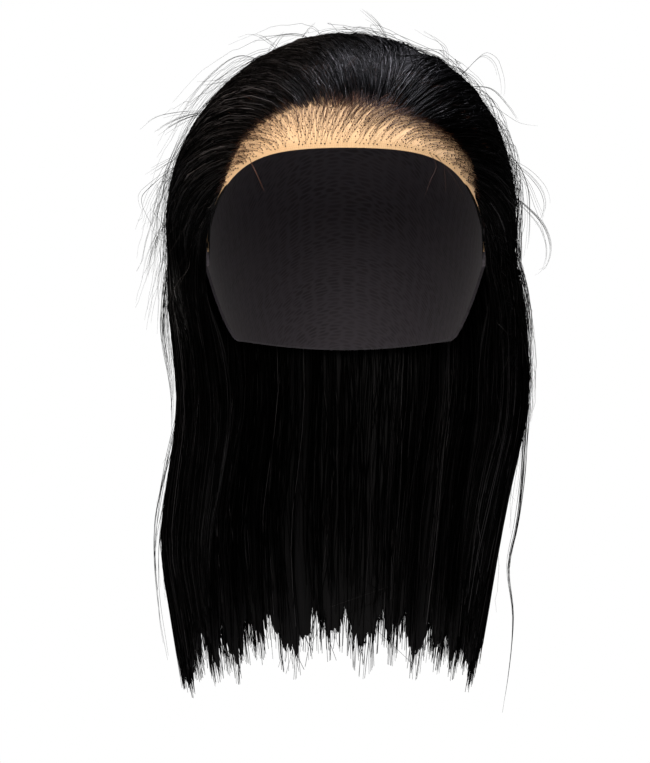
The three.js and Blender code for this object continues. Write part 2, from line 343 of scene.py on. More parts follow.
# An open sheet that strands follow. Turned sheets face inwards.
def guideSheet(grid, headRows=0, turned=False):
    columns, rows = grid.shape[:2]
    places = flowPlaces(grid, headRows).reshape(-1, 2)
    return meshOf("guide", grid.reshape(-1, 3), gridFaces(columns, rows, 0, turned), places)


sharpAngle = 60


# A closed wall between two grids of the same size.
def closedWall(name, outer, inner, places):
    columns, rows = outer.shape[:2]
    count = columns * rows
    rim = np.concatenate([
        np.arange(rows), (np.arange(1, columns) * rows + rows - 1),
        ((columns - 1) * rows + np.arange(rows - 2, -1, -1)), np.arange(columns - 2, 0, -1) * rows,
    ])
    after = np.roll(rim, -1)
    band = np.stack([rim, after, after + count, rim + count], -1)
    faces = np.concatenate([gridFaces(columns, rows), gridFaces(columns, rows, count, True), band])
    flat = places.reshape(-1, 2)
    wall = meshOf(name, np.concatenate([outer.reshape(-1, 3), inner.reshape(-1, 3)]), faces,
                  np.concatenate([flat, flat]))
    wall.data.set_sharp_from_angle(angle=math.radians(sharpAngle))  # a cut rim, not a rolled one
    return wall


# The area of a wall's one side, in square metres.
def wornArea(wall):
    return round(sum(face.area for face in wall.data.polygons) / 2, 4)


# Adds a node with its settings and links. A node given as a value stands for its first output in use.
def put(tree, kind, wires=None, **settings):
    node = tree.nodes.new(kind)
    for name, value in settings.items():
        setattr(node, name, value)
    for key, value in (wires or {}).items():
        if isinstance(value, bpy.types.Node):
            value = next(output for output in value.outputs if output.enabled)
        if isinstance(value, bpy.types.NodeSocket):
            tree.links.new(value, node.inputs[key])
        else:
            node.inputs[key].default_value = value
    return node


def linear(code):
    parts = [int(code[i:i + 2], 16) / 255 for i in (1, 3, 5)]
    return tuple(p / 12.92 if p <= 0.04045 else ((p + 0.055) / 1.055) ** 2.4 for p in parts) + (1.0,)


def newMaterial(name):
    material = bpy.data.materials.new(name)
    material.use_nodes = True
    material.node_tree.nodes.clear()
    return material, material.node_tree


hairIor = 1.55  # keratin


# Dyed human hair, one smooth fibre at a time. A few strands are lighter and shine more than the rest.
def strandHair(name, dark, light, rough, shine, rarity=6.0):
    material, tree = newMaterial(name)
    tone = put(tree, "ShaderNodeAttribute", attribute_name="tone").outputs["Fac"]
    few = put(tree, "ShaderNodeMath", {0: tone, 1: rarity}, operation="POWER")
    colour = put(tree, "ShaderNodeMix", {"Factor": few, "A": linear(dark), "B": linear(light)},
                 data_type="RGBA")
    shown = {"Base Color": colour, "IOR": hairIor}
    for socket, by, (low, high) in (("Roughness", tone, rough), ("Specular IOR Level", few, shine)):
        shown[socket] = low
        if low != high:
            shown[socket] = put(tree, "ShaderNodeMapRange", {"Value": by, "To Min": low, "To Max": high})
    put(tree, "ShaderNodeOutputMaterial", {"Surface": put(tree, "ShaderNodeBsdfPrincipled", shown)})
    return material


# The mass of hair under the loose strands: the same hair packed close, streaked along its length. A streak
# is drawn wider than a single hair, so that it shows.
def packedHair(name, size):
    material, tree = newMaterial(name)
    place = put(tree, "ShaderNodeUVMap", uv_map="flow")
    scale = (size["roundMm"] / size["strandMm"], size["lengthMm"] / size["streakMm"], 1)
    strand = put(tree, "ShaderNodeMapping", {"Vector": place, "Scale": scale})
    streak = put(tree, "ShaderNodeTexNoise", {"Vector": strand, "Scale": 1.0, "Detail": 3.0},
                 noise_dimensions="2D")
    light = put(tree, "ShaderNodeMapRange", {"Value": streak, "From Min": 0.3, "From Max": 0.75})
    colour = put(tree, "ShaderNodeMix", {"Factor": light, "A": linear("#010101"), "B": linear("#060506")},
                 data_type="RGBA")
    bump = put(tree, "ShaderNodeBump", {"Height": streak, "Distance": size["reliefMm"] * mm, "Strength": 0.9})
    shown = {
        "Base Color": colour, "Normal": bump, "Roughness": 0.6, "IOR": hairIor, "Specular IOR Level": 0.1}
    put(tree, "ShaderNodeOutputMaterial", {"Surface": put(tree, "ShaderNodeBsdfPrincipled", shown)})
    return material


# Fine hexagonal net, knitted from thin yarn: matte, with painted shade that makes it darker in the holes, and
# more so in patches.
def fineNet(name, yarn, holeShadeColour, size):
    material, tree = newMaterial(name)
    place = put(tree, "ShaderNodeUVMap", uv_map="flow")
    cells = put(tree, "ShaderNodeTexVoronoi", {
        "Vector": place, "Scale": 1 / size["pitchMm"], "Randomness": size["uneven"]},
        feature="DISTANCE_TO_EDGE", voronoi_dimensions="2D")
    thread = put(tree, "ShaderNodeMapRange", {"Value": cells, "From Min": 0.1, "From Max": 0.3})
    patch = put(tree, "ShaderNodeTexNoise", {"Vector": place, "Scale": 1 / size["patchMm"], "Detail": 2.0},
                noise_dimensions="2D")
    # painted shade: the holes are drawn darker than the yarn, deeper in patches
    holeShade = put(tree, "ShaderNodeMath", {0: thread, 1: patch}, operation="MULTIPLY")
    colour = put(tree, "ShaderNodeMix", {"Factor": holeShade, "A": linear(yarn), "B": linear(holeShadeColour)},
                 data_type="RGBA")
    bump = put(tree, "ShaderNodeBump", {"Height": cells, "Distance": size["reliefMm"] * mm, "Strength": 0.6},
               invert=True)
    shown = {"Base Color": colour, "Normal": bump, "Roughness": 0.82, "Sheen Weight": 0.15}
    put(tree, "ShaderNodeOutputMaterial", {"Surface": put(tree, "ShaderNodeBsdfPrincipled", shown)})
    return material


# Inputs of the trees, with their start values. A word names the kind of an input without one.
sheetSockets = {"Guide": "Geometry", "Seed": 0, "Finish": "Material"}
tubeSockets = {
    **sheetSockets, "Points": 0, "Thickness": 0.0, "Tip Share": 0.0, "Root Share": 0.0, "Taper Start": 0.55,
    "Root Taper": 0.06, "Lift": (0.0, 0.0)}
knotSockets = {
    "Knots": 0, "Columns": 1.0, "Stagger": 0.382, "First Row": 0.0, "Row Pitch": 0.0, "Jitter": 0.0,
    "Past Dense": 0.0, "Front Share": 0.0, "Front Reach": 0.0, "Edge Row": 0.01}
knotSeeds = {"size": 3, "tone": 5, "missing": 21, "hairs": 40}
sheetRim = 0.001  # points stay inside a sheet's edges by about this share of it


# A pair of values stands for the low and the high end of a range.
def withRanges(sizes):
    found = {}
    for label, value in sizes.items():
        if isinstance(value, tuple):
            found[label + " Low"], found[label + " High"] = value
        else:
            found[label] = value
    return found


def newTree(name, sockets):
    tree = bpy.data.node_groups.new(name, "GeometryNodeTree")
    for label, start in withRanges(sockets).items():
        kind = start if isinstance(start, str) else type(start).__name__.title()
        socket = tree.interface.new_socket(label, in_out="INPUT", socket_type="NodeSocket" + kind)
        if start != kind:
            socket.default_value = start
    tree.interface.new_socket("Made", in_out="OUTPUT", socket_type="NodeSocketGeometry")
    return tree, put(tree, "NodeGroupInput").outputs


# The curves of a strand tree, still in one place, and the number of each.
def manyCurves(tree, given, amount):
    line = put(tree, "GeometryNodeCurvePrimitiveLine", {"End": (0, 0, 1)})
    fine = put(tree, "GeometryNodeResampleCurve", {"Curve": line, "Count": given["Points"]})
    many = put(tree, "GeometryNodeDuplicateElements", {"Geometry": fine, "Amount": amount}, domain="SPLINE")
    return many.outputs["Geometry"], many.outputs["Duplicate Index"]


# The point at a height above a place on the guide sheet.
def overSheet(tree, given, place, height):
    flow = put(tree, "GeometryNodeInputNamedAttribute", {"Name": "flow"}, data_type="FLOAT_VECTOR")
    here, outwards = (
        put(tree, "GeometryNodeSampleUVSurface", {
            "Mesh": given["Guide"], "Value": put(tree, kind), "UV Map": flow, "Sample UV": place},
            data_type="FLOAT_VECTOR")
        for kind in ("GeometryNodeInputPosition", "GeometryNodeInputNormal"))
    step = put(tree, "ShaderNodeVectorMath", {0: outwards, "Scale": height}, operation="SCALE")
    return put(tree, "ShaderNodeVectorMath", {0: here, 1: step}, operation="ADD")


def endTree(tree, given, shape):
    smoothed = put(tree, "GeometryNodeSetShadeSmooth", {"Geometry": shape})
    real = put(tree, "GeometryNodeRealizeInstances", {"Geometry": smoothed})
    finished = put(tree, "GeometryNodeSetMaterial", {"Geometry": real, "Material": given["Finish"]})
    put(tree, "NodeGroupOutput", {"Made": finished})


# The end of a strand tree: puts the curves in place and makes each one a thin closed tube.
def endTubes(tree, given, curves, along, tone, at):
    taper = put(tree, "ShaderNodeMapRange", {
        "Value": along, "From Min": given["Taper Start"], "To Min": 0.5, "To Max": given["Tip Share"]})
    rooted = put(tree, "ShaderNodeMapRange", {
        "Value": along, "From Max": given["Root Taper"], "To Min": given["Root Share"]})
    thinned = put(tree, "ShaderNodeMath", {0: taper, 1: rooted}, operation="MULTIPLY")
    half = put(tree, "ShaderNodeMath", {0: thinned, 1: given["Thickness"]}, operation="MULTIPLY")
    toned = put(tree, "GeometryNodeStoreNamedAttribute", {"Geometry": curves, "Name": "tone", "Value": tone},
                domain="CURVE")
    sized = put(tree, "GeometryNodeStoreNamedAttribute", {"Geometry": toned, "Name": "half", "Value": half})
    moved = put(tree, "GeometryNodeSetPosition", {"Geometry": sized, "Position": at})
    ring = put(tree, "GeometryNodeCurvePrimitiveCircle", {"Resolution": 3, "Radius": 1.0})
    size = put(tree, "GeometryNodeInputNamedAttribute", {"Name": "half"}, data_type="FLOAT")
    tube = put(tree, "GeometryNodeCurveToMesh", {
        "Curve": moved, "Profile Curve": ring, "Scale": size, "Fill Caps": True})
    endTree(tree, given, tube)


# Strands that follow a sheet from its root edge to its tip edge.
def strandTree():
    tree, given = newTree("combedStrands", {
        **tubeSockets, "Strands": 0, "Across": (0.0, 1.0), "Start": (0.0, 0.0), "Span": (0.0, 0.0),
        "Crowding": 1.0, "Root Depth": 0.0, "Root Reach": 0.03, "Stand Off": 0.0, "Boldness": 2.0,
        "Curl": 1.6, "Clumps": 1.0, "Clumping": 0.0, "Clump Start": 0.35, "Wander": 0.0, "Waves": 0.0,
        "Phases": 300.0, "Stray Share": 0.0, "Rarity": 7.0, "Parting": 0.5, "Right Bend": 1.0,
        "Left Bend": 1.0, "Sweep Reach": 1.0, "Streaks": 0.0, "Streak Share": 0.5})
    curves, strand = manyCurves(tree, given, given["Strands"])
    along = put(tree, "GeometryNodeSplineParameter")
    chance, drawn = {}, {}
    for number, label in enumerate(("Across", "Start", "Span", "Lift", "Stray", "Stand", "Tone", "Phase")):
        seed = put(tree, "ShaderNodeMath", {0: given["Seed"], 1: float(number)}, operation="ADD")
        chance[label] = put(tree, "FunctionNodeRandomValue", {"ID": strand, "Seed": seed})
    for label in ("Across", "Start", "Span", "Lift"):
        drawn[label] = put(tree, "ShaderNodeMapRange", {
            "Value": chance[label], "To Min": given[label + " Low"], "To Max": given[label + " High"]})

    # how far down the sheet each point lies
    crowded = put(tree, "ShaderNodeMath", {0: along, 1: given["Crowding"]}, operation="POWER")
    reached = put(tree, "ShaderNodeMath", {0: crowded, 1: drawn["Span"], 2: drawn["Start"]},
                  operation="MULTIPLY_ADD")
    down = put(tree, "ShaderNodeMath", {0: reached, 1: 1 - sheetRim / 2}, operation="MINIMUM")

    # where it lies across: pulled into clumps towards the tip, and wandering a little on the way
    scaled = put(tree, "ShaderNodeMath", {0: drawn["Across"], 1: given["Clumps"]}, operation="MULTIPLY")
    whole = put(tree, "ShaderNodeMath", {0: scaled}, operation="FLOOR")
    middle = put(tree, "ShaderNodeMath", {0: whole, 1: 0.5}, operation="ADD")
    clump = put(tree, "ShaderNodeMath", {0: middle, 1: given["Clumps"]}, operation="DIVIDE")
    pull = put(tree, "ShaderNodeMapRange", {
        "Value": reached, "From Min": given["Clump Start"], "To Max": given["Clumping"]},
        interpolation_type="SMOOTHSTEP")
    pulled = put(tree, "ShaderNodeMix", {"Factor": pull, "A": drawn["Across"], "B": clump})
    wave = put(tree, "ShaderNodeMath", {0: crowded, 1: given["Waves"]}, operation="MULTIPLY")
    phase = put(tree, "ShaderNodeMath", {0: chance["Phase"], 1: given["Phases"]}, operation="MULTIPLY")
    spot = put(tree, "ShaderNodeCombineXYZ", {"X": phase, "Y": wave})
    noise = put(tree, "ShaderNodeTexNoise", {"Vector": spot, "Scale": 1.0, "Detail": 0.0},
                noise_dimensions="2D")
    swing = put(tree, "ShaderNodeMath", {0: noise, 1: 0.5}, operation="SUBTRACT")
    rare = put(tree, "ShaderNodeMath", {0: chance["Stray"], 1: given["Rarity"]}, operation="POWER")
    loose = put(tree, "ShaderNodeMath", {0: rare, 1: given["Stray Share"], 2: 1.0}, operation="MULTIPLY_ADD")
    width = put(tree, "ShaderNodeMath", {0: loose, 1: given["Wander"]}, operation="MULTIPLY")
    wandered = put(tree, "ShaderNodeMath", {0: swing, 1: width, 2: pulled}, operation="MULTIPLY_ADD")
    across = put(tree, "ShaderNodeClamp", {"Value": wandered, "Min": sheetRim, "Max": 1 - sheetRim})

    # swept to either side of the parting
    target = across
    for edge, bend in ((0.0, "Right Bend"), (1.0, "Left Bend")):
        room = put(tree, "ShaderNodeMath", {0: edge, 1: given["Parting"]}, operation="SUBTRACT")
        share = put(tree, "ShaderNodeMapRange", {
            "Value": across, "From Min": given["Parting"], "From Max": edge})
        bent = put(tree, "ShaderNodeMath", {0: share, 1: given[bend]}, operation="POWER")
        further = put(tree, "ShaderNodeMath", {0: bent, 1: share}, operation="SUBTRACT")
        target = put(tree, "ShaderNodeMath", {0: further, 1: room, 2: target}, operation="MULTIPLY_ADD")
    turned = put(tree, "ShaderNodeMapRange", {"Value": reached, "From Max": given["Sweep Reach"]},
                 interpolation_type="SMOOTHSTEP")
    combed = put(tree, "ShaderNodeMix", {"Factor": turned, "A": across, "B": target})

    # the height above the sheet: out of it at the root, and away from it towards the tip
    risen = put(tree, "ShaderNodeMapRange", {
        "Value": crowded, "From Max": given["Root Reach"], "To Min": given["Root Depth"],
        "To Max": drawn["Lift"]}, interpolation_type="SMOOTHSTEP")
    bold = put(tree, "ShaderNodeMath", {0: chance["Stand"], 1: given["Boldness"]}, operation="POWER")
    curl = put(tree, "ShaderNodeMath", {0: along, 1: given["Curl"]}, operation="POWER")
    away = put(tree, "ShaderNodeMath", {0: bold, 1: curl}, operation="MULTIPLY")
    height = put(tree, "ShaderNodeMath", {0: away, 1: given["Stand Off"], 2: risen}, operation="MULTIPLY_ADD")
    place = put(tree, "ShaderNodeCombineXYZ", {"X": combed, "Y": down})
    at = overSheet(tree, given, place, height)

    # strands side by side share part of their tone, which makes streaks
    beside = put(tree, "ShaderNodeMath", {0: drawn["Across"], 1: given["Streaks"]}, operation="MULTIPLY")
    streak = put(tree, "ShaderNodeTexNoise", {"W": beside, "Scale": 1.0, "Detail": 2.0},
                 noise_dimensions="1D")
    spread = put(tree, "ShaderNodeMapRange", {"Value": streak, "From Min": 0.3, "From Max": 0.7})
    tone = put(tree, "ShaderNodeMix", {"Factor": given["Streak Share"], "A": chance["Tone"], "B": spread})
    endTubes(tree, given, curves, along, tone, at)
    return tree


# Knots lie on the lace in staggered rows. This finds a knot's place from its number, how far it lies in
# front of the dense hair, and whether it is a spare one that is left out.
def knotPlaces(tree, given, number):
    column = put(tree, "ShaderNodeMath", {0: number, 1: given["Columns"]}, operation="MODULO")
    turns = put(tree, "ShaderNodeMath", {0: number, 1: given["Columns"]}, operation="DIVIDE")
    row = put(tree, "ShaderNodeMath", {0: turns}, operation="FLOOR")
    slid = put(tree, "ShaderNodeMath", {0: row, 1: given["Stagger"]}, operation="MULTIPLY")
    aside = put(tree, "ShaderNodeMath", {0: slid}, operation="FRACT")
    shake = put(tree, "FunctionNodeRandomValue", {
        "Min": (-0.5, -0.5, 0), "Max": (0.5, 0.5, 0), "ID": number, "Seed": given["Seed"]},
        data_type="FLOAT_VECTOR")
    shaken = put(tree, "ShaderNodeVectorMath", {0: shake, "Scale": given["Jitter"]}, operation="SCALE")
    apart = put(tree, "ShaderNodeSeparateXYZ", {"Vector": shaken}).outputs
    staggered = put(tree, "ShaderNodeMath", {0: aside, 1: column}, operation="ADD")
    shifted = put(tree, "ShaderNodeMath", {0: staggered, 1: apart["X"]}, operation="ADD")
    across = put(tree, "ShaderNodeMath", {0: shifted, 1: given["Columns"]}, operation="DIVIDE")
    uneven = put(tree, "ShaderNodeMath", {0: row, 1: apart["Y"]}, operation="ADD")
    far = put(tree, "ShaderNodeMath", {0: uneven, 1: given["Row Pitch"], 2: given["First Row"]},
              operation="MULTIPLY_ADD")
    flow = put(tree, "GeometryNodeInputNamedAttribute", {"Name": "flow"}, data_type="FLOAT_VECTOR")

    def measured(label, spot):
        known = put(tree, "GeometryNodeInputNamedAttribute", {"Name": label}, data_type="FLOAT")
        return put(tree, "GeometryNodeSampleUVSurface", {
            "Mesh": given["Guide"], "Value": known, "UV Map": flow, "Sample UV": spot})

    edge = put(tree, "ShaderNodeCombineXYZ", {"X": across, "Y": given["Edge Row"]})
    reach = measured("reach", edge)
    down = put(tree, "ShaderNodeMath", {0: far, 1: reach}, operation="DIVIDE")
    place = put(tree, "ShaderNodeCombineXYZ", {"X": across, "Y": down})
    bare = put(tree, "ShaderNodeMath", {0: measured("dense", edge), 1: far}, operation="SUBTRACT")
    covered = put(tree, "ShaderNodeMath", {0: bare, 1: given["Past Dense"]}, operation="LESS_THAN")
    front = put(tree, "ShaderNodeMapRange", {
        "Value": far, "From Min": given["First Row"], "From Max": given["Front Reach"],
        "To Min": given["Front Share"]})
    share = put(tree, "ShaderNodeMath", {0: front, 1: measured("room", place)}, operation="MULTIPLY")
    chance = put(tree, "FunctionNodeRandomValue", {"ID": number, "Seed": knotSeeds["missing"]})
    missing = put(tree, "ShaderNodeMath", {0: chance, 1: share}, operation="GREATER_THAN")
    spare = put(tree, "ShaderNodeMath", {0: covered, 1: missing}, operation="MAXIMUM")
    return {"across": across, "down": down, "place": place, "reach": reach, "bare": bare, "spare": spare}


# The knots themselves: small beads of hair tied round the net.
def knotTree():
    tree, given = newTree("laceKnots", {
        **sheetSockets, **knotSockets, "Knot Size": 0.0, "Size": (0.75, 1.15), "Sink": 0.0})
    number = put(tree, "GeometryNodeInputIndex")
    knot = knotPlaces(tree, given, number)
    at = overSheet(tree, given, knot["place"], given["Sink"])
    points = put(tree, "GeometryNodePoints", {"Count": given["Knots"], "Position": at})
    kept = put(tree, "GeometryNodeDeleteGeometry", {"Geometry": points, "Selection": knot["spare"]})
    chance = put(tree, "FunctionNodeRandomValue", {"ID": number, "Seed": knotSeeds["tone"]})
    toned = put(tree, "GeometryNodeStoreNamedAttribute", {"Geometry": kept, "Name": "tone", "Value": chance})
    bead = put(tree, "GeometryNodeMeshIcoSphere", {"Radius": given["Knot Size"], "Subdivisions": 1})
    size = put(tree, "FunctionNodeRandomValue", {
        "Min": given["Size Low"], "Max": given["Size High"], "ID": number, "Seed": knotSeeds["size"]})
    beads = put(tree, "GeometryNodeInstanceOnPoints", {"Points": toned, "Instance": bead, "Scale": size})
    endTree(tree, given, beads)
    return tree


# A few hairs from each knot, combed back over the lace and in among the dense hair.
def rootHairTree():
    tree, given = newTree("rootHairs", {
        **tubeSockets, **knotSockets, "Hairs Each": 1.0, "Length": (0.0, 0.0), "Side Share": 0.0,
        "Side Start": 0.06, "Side End": 0.28, "Thin Reach": 0.0, "Thin Share": 0.0, "Spread": 0.0,
        "Fan": 0.0, "Lean": 0.0, "Lean Start": 0.0, "Lean Most": 0.0, "Lean End": 0.0, "Edge Length": 1.0,
        "Arch": 0.4})
    total = put(tree, "ShaderNodeMath", {0: given["Knots"], 1: given["Hairs Each"]}, operation="MULTIPLY")
    curves, hair = manyCurves(tree, given, total)
    along = put(tree, "GeometryNodeSplineParameter")
    shared = put(tree, "ShaderNodeMath", {0: hair, 1: given["Hairs Each"]}, operation="DIVIDE")
    number = put(tree, "ShaderNodeMath", {0: shared}, operation="FLOOR")
    knot = knotPlaces(tree, given, number)
    chance = {}
    for seed, label in enumerate(("length", "side", "lift", "tone", "missing"), knotSeeds["hairs"]):
        chance[label] = put(tree, "FunctionNodeRandomValue", {"ID": hair, "Seed": seed})
    share = put(tree, "ShaderNodeMapRange", {
        "Value": knot["bare"], "From Max": given["Thin Reach"], "To Min": 1.0, "To Max": given["Thin Share"]})
    missing = put(tree, "ShaderNodeMath", {0: chance["missing"], 1: share}, operation="GREATER_THAN")
    gone = put(tree, "ShaderNodeMath", {0: knot["spare"], 1: missing}, operation="MAXIMUM")

    # how far back each point lies: hairs at the sides are shorter
    length = put(tree, "ShaderNodeMapRange", {
        "Value": chance["length"], "To Min": given["Length Low"], "To Max": given["Length High"]})
    middle = put(tree, "ShaderNodeMath", {0: knot["across"], 1: 0.5}, operation="SUBTRACT")
    aside = put(tree, "ShaderNodeMath", {0: middle}, operation="ABSOLUTE")
    shorter = put(tree, "ShaderNodeMapRange", {
        "Value": aside, "From Min": given["Side Start"], "From Max": given["Side End"], "To Min": 1.0,
        "To Max": given["Side Share"]})
    trimmed = put(tree, "ShaderNodeMath", {0: length, 1: shorter}, operation="MULTIPLY")
    span = put(tree, "ShaderNodeMath", {0: trimmed, 1: knot["reach"]}, operation="DIVIDE")
    reached = put(tree, "ShaderNodeMath", {0: along, 1: span, 2: knot["down"]}, operation="MULTIPLY_ADD")
    down = put(tree, "ShaderNodeMath", {0: reached, 1: 1 - sheetRim}, operation="MINIMUM")

    # where it lies across: fanned out, and beside the middle leaning over to the left
    rising = put(tree, "ShaderNodeMapRange", {
        "Value": knot["across"], "From Min": given["Lean Start"], "From Max": given["Lean Most"],
        "To Max": given["Lean"]})
    falling = put(tree, "ShaderNodeMapRange", {
        "Value": knot["across"], "From Min": given["Lean Most"], "From Max": given["Lean End"],
        "To Min": 1.0, "To Max": 0.0})
    slope = put(tree, "ShaderNodeMath", {0: rising, 1: falling}, operation="MULTIPLY")
    way = put(tree, "ShaderNodeMath", {0: along, 1: trimmed}, operation="MULTIPLY")
    further = put(tree, "ShaderNodeMath", {0: way, 1: given["Edge Length"]}, operation="DIVIDE")
    leant = put(tree, "ShaderNodeMath", {0: further, 1: slope, 2: knot["across"]}, operation="MULTIPLY_ADD")
    side = put(tree, "ShaderNodeMath", {0: chance["side"], 1: 0.5}, operation="SUBTRACT")
    opened = put(tree, "ShaderNodeMath", {0: along, 1: given["Fan"], 2: given["Spread"]},
                 operation="MULTIPLY_ADD")
    fanned = put(tree, "ShaderNodeMath", {0: side, 1: opened, 2: leant}, operation="MULTIPLY_ADD")
    across = put(tree, "ShaderNodeClamp", {"Value": fanned, "Min": sheetRim, "Max": 1 - sheetRim})
    place = put(tree, "ShaderNodeCombineXYZ", {"X": across, "Y": down})
    lift = put(tree, "ShaderNodeMapRange", {
        "Value": chance["lift"], "To Min": given["Lift Low"], "To Max": given["Lift High"]})
    height = put(tree, "ShaderNodeMapRange", {"Value": along, "From Max": given["Arch"], "To Max": lift},
                 interpolation_type="SMOOTHSTEP")
    at = overSheet(tree, given, place, height)
    kept = put(tree, "GeometryNodeDeleteGeometry", {"Geometry": curves, "Selection": gone}, domain="CURVE")
    endTubes(tree, given, kept, along, chance["tone"], at)
    return tree


def finishPiece(piece, slot, *nodes):
    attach(piece, "root")
    for node in nodes:
        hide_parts(node)


# Runs a tree on a guide object and keeps the result as a plain mesh of hair. The guide goes.
def grow(name, guide, tree, sizes):
    modifier = guide.modifiers.new("grow", "NODES")
    modifier.node_group = tree
    sizes = withRanges(sizes)
    for item in tree.interface.items_tree:
        if item.in_out == "INPUT" and item.name in sizes:
            modifier[item.identifier] = sizes[item.name]
    graph = bpy.context.evaluated_depsgraph_get()
    grown = guide.evaluated_get(graph)
    mesh = bpy.data.meshes.new_from_object(grown, preserve_all_data_layers=True, depsgraph=graph)
    mesh.name = name
    guide.modifiers.clear()
    old = guide.data
    bpy.data.objects.remove(guide)
    bpy.data.meshes.remove(old)
    piece = bpy.data.objects.new(name, mesh)
    scene.collection.objects.link(piece)
    finishPiece(piece, "hair")
    print("grown:", name, len(mesh.polygons), "faces")


combedStrands = strandTree()
laceKnots = knotTree()
rootHairs = rootHairTree()
strandFinish = strandHair("blackHairStrand", "#010101", "#181517", (0.2, 0.4), (0.02, 0.95))
rootFinish = strandHair("brownRootHair", "#2a160d", "#7a4a2c", (0.4, 0.55), (0.2, 0.2))
knotFinish = strandHair("darkHairKnot", "#25140c", "#4a2e1e", (0.45, 0.6), (0.2, 0.2))

# Stretch-net cap. Its inside shows through the front opening. A real net has a pitch of about 1 mm, and
# this one is drawn coarser, so that it shows.
capPiece = {
    "columns": 80, "rows": 40, "thickness": 1.5, "seamGap": 0.35, "flat": (0.3, 0.22), "cut": 0.047,
    "net": {"pitchMm": 2.4, "uneven": 0.7, "reliefMm": 0.25, "patchMm": 12.5}}
lines, u = linesAcross(capPiece["columns"])
besideEar = ease(np.abs(sweptShare(u)), capEdge["napeStart"], capEdge["earEnd"])
edgeHeight = blend(capEdge["napeHeight"], capEdge["earHeight"], besideEar)
onSweep = lines[1][:, -1:] - laceBack(u) - capPiece["seamGap"]
below = np.radians(leavingHeight(u) - edgeHeight) * head["lowerHeight"]
far = (onSweep + below) * np.linspace(0, 1, capPiece["rows"] + 1)
swept = alongLines(lines, laceBack(u) + capPiece["seamGap"] + np.minimum(far, onSweep))
lower = leavingHeight(u) - (leavingHeight(u) - edgeHeight) * np.clip((far - onSweep) / below, 0, 1)
dropped = towards(leavingAzimuth(u) * np.ones_like(lower), lower)[0]
capWay = np.where((far <= onSweep)[..., None], swept, dropped)
capPlaces = np.stack([u * edgeLength / 2 * np.ones_like(far), far], -1)
cap = closedWall("stretchCap", onHead(capWay, capPiece["thickness"]), onHead(capWay, 0.0), capPlaces)
# the second colour is the painted shade in the net's holes
cap.data.materials.append(fineNet("stretchNet", "#38333a", "#141115", capPiece["net"]))
finishPiece(cap, "cap_net", "cap")
print("made: cap,", wornArea(cap), "m2 worn")

# Lace front. Its net too is drawn coarser than real lace of about 0.5 mm.
lacePiece = {
    "columns": 120, "rows": 26, "thickness": 1.0, "edge": 0.35, "edgeReach": 4, "flat": (0.205, 0.052),
    "cut": 0.0069, "net": {"pitchMm": 1.1, "uneven": 0.15, "reliefMm": 0.15, "patchMm": 12.5}}
lines, u = linesAcross(lacePiece["columns"])
far = laceBack(u) * np.linspace(0, 1, lacePiece["rows"] + 1)
laceWay = alongLines(lines, far)
lacePlaces = np.stack([u * edgeLength / 2 * np.ones_like(far), far], -1)
edgeThickness = blend(lacePiece["edge"], lacePiece["thickness"], ease(far, 0, lacePiece["edgeReach"]))
lace = closedWall("laceFront", onHead(laceWay, edgeThickness), onHead(laceWay, 0.0), lacePlaces)
# the second colour is the painted shade in the lace's holes
lace.data.materials.append(fineNet("tanLace", "#e4bd8e", "#cfa474", lacePiece["net"]))
finishPiece(lace, "lace", "lace_front")
print("made: lace,", wornArea(lace), "m2 worn")

# Knots in the lace and the hairs tied into it. Their guide runs from the lace edge up over the hair.
rootPiece = {
    "columns": 104, "rows": 46, "reach": 95, "share": 0.92, "onLace": 1.05, "overHair": 0.8,
    "climb": (-6, 30), "denseBehind": 4, "crowded": 0.7}


# Combed lines crowd together at the sides, so the room between them thins the knots there.
def rootGuide():
    lines, u = linesAcross(rootPiece["columns"])
    reach = np.minimum(rootPiece["reach"], rootPiece["share"] * lines[1][:, -1:])
    share = np.linspace(0, 1, rootPiece["rows"] + 1)[None, :]
    way = alongLines(lines, reach * share)
    climbed = ease(reach * share - denseAt(u), *rootPiece["climb"])
    above = liftAt(u, reach * share, way) + rootPiece["overHair"]
    grid = onHead(way, blend(rootPiece["onLace"], above, climbed))
    places = np.stack([(u + 1) / 2 * np.ones_like(climbed), share * np.ones_like(climbed)], -1)
    columns, rows = grid.shape[:2]
    guide = meshOf("guide", grid.reshape(-1, 3), gridFaces(columns, rows), places.reshape(-1, 2))
    beside, onwards = np.gradient(grid, axis=0), np.gradient(grid, axis=1)
    onwards /= np.linalg.norm(onwards, axis=-1, keepdims=True)
    apart = np.linalg.norm(np.cross(beside, onwards), axis=-1) * (columns - 1) / edgeLength
    dense = strandsAt(u) + rootPiece["denseBehind"]
    room = apart ** rootPiece["crowded"]
    for label, value in (("reach", reach * mm), ("dense", dense * mm), ("room", room)):
        stored = guide.data.attributes.new(label, "FLOAT", "POINT")
        stored.data.foreach_set("value", (value * np.ones_like(climbed)).astype(np.float32).ravel())
    return guide


knotLayout = {"columns": 84, "rows": 18}
knotRows = {
    "Knots": knotLayout["columns"] * knotLayout["rows"], "Columns": float(knotLayout["columns"]),
    "First Row": 2.4 * mm, "Row Pitch": 2.0 * mm, "Jitter": 0.6, "Past Dense": -5 * mm, "Front Share": 0.75,
    "Front Reach": 12 * mm, "Seed": 7}
knots = {"Knot Size": 0.34 * mm, "Sink": 0.05 * mm, "Finish": knotFinish}
rootStrands = {
    "Hairs Each": 8.0, "Points": 4, "Thickness": 0.074 * mm, "Tip Share": 0.3, "Root Share": 0.8,
    "Length": (6 * mm, 27 * mm), "Side Share": 0.35, "Thin Reach": 26 * mm, "Thin Share": 0.22,
    "Spread": 0.005, "Fan": 0.024, "Lean": 0.5, "Lean Start": 0.34, "Lean Most": 0.52, "Lean End": 0.8,
    "Edge Length": edgeLength * mm, "Lift": (0.1 * mm, 0.9 * mm), "Finish": rootFinish}
grow("laceKnots", rootGuide(), laceKnots, {**knotRows, **knots})
grow("rootHairs", rootGuide(), rootHairs, {**knotRows, **rootStrands})
